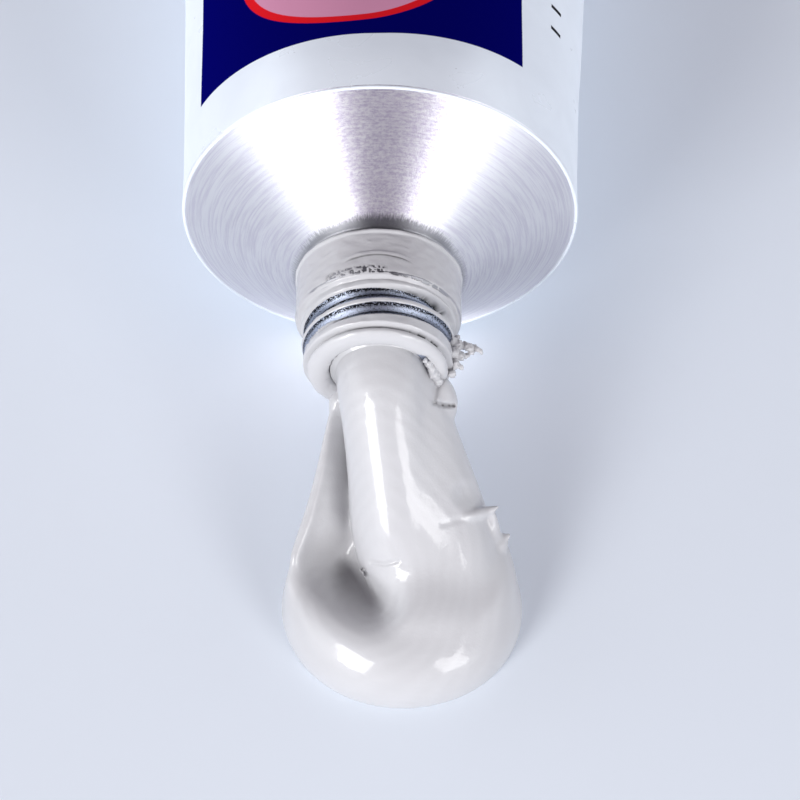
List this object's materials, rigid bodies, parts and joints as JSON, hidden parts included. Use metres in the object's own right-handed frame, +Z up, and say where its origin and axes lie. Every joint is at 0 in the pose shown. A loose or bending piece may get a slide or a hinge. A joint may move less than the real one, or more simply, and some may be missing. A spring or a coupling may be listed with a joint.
{
  "type": "thermal paste tube",
  "caption": "Collapsible aluminium tube lying on its side, with a turned cone shoulder, a threaded neck, a rolled flat tail, and thick grey-white paste squeezed out of the mouth onto the table.",
  "frame": {"origin": "on the table under the middle of the object's length, in the upright plane through the tube's axis", "axes": "+Z up, -Y the way the mouth points along the lying tube, X across the pressed tail"},
  "size_m": [0.0298, 0.1052, 0.019],
  "materials": {
    "aluminium_tube": "turned bare shoulder and neck, glossy silver-white enamel on the body",
    "paste": "thick glossy grey-white paste"
  },
  "bodies": {
    "root": {"tube": "aluminium_tube", "paste_fill": "paste", "paste_bead": "paste"}
  },
  "joints": []
}
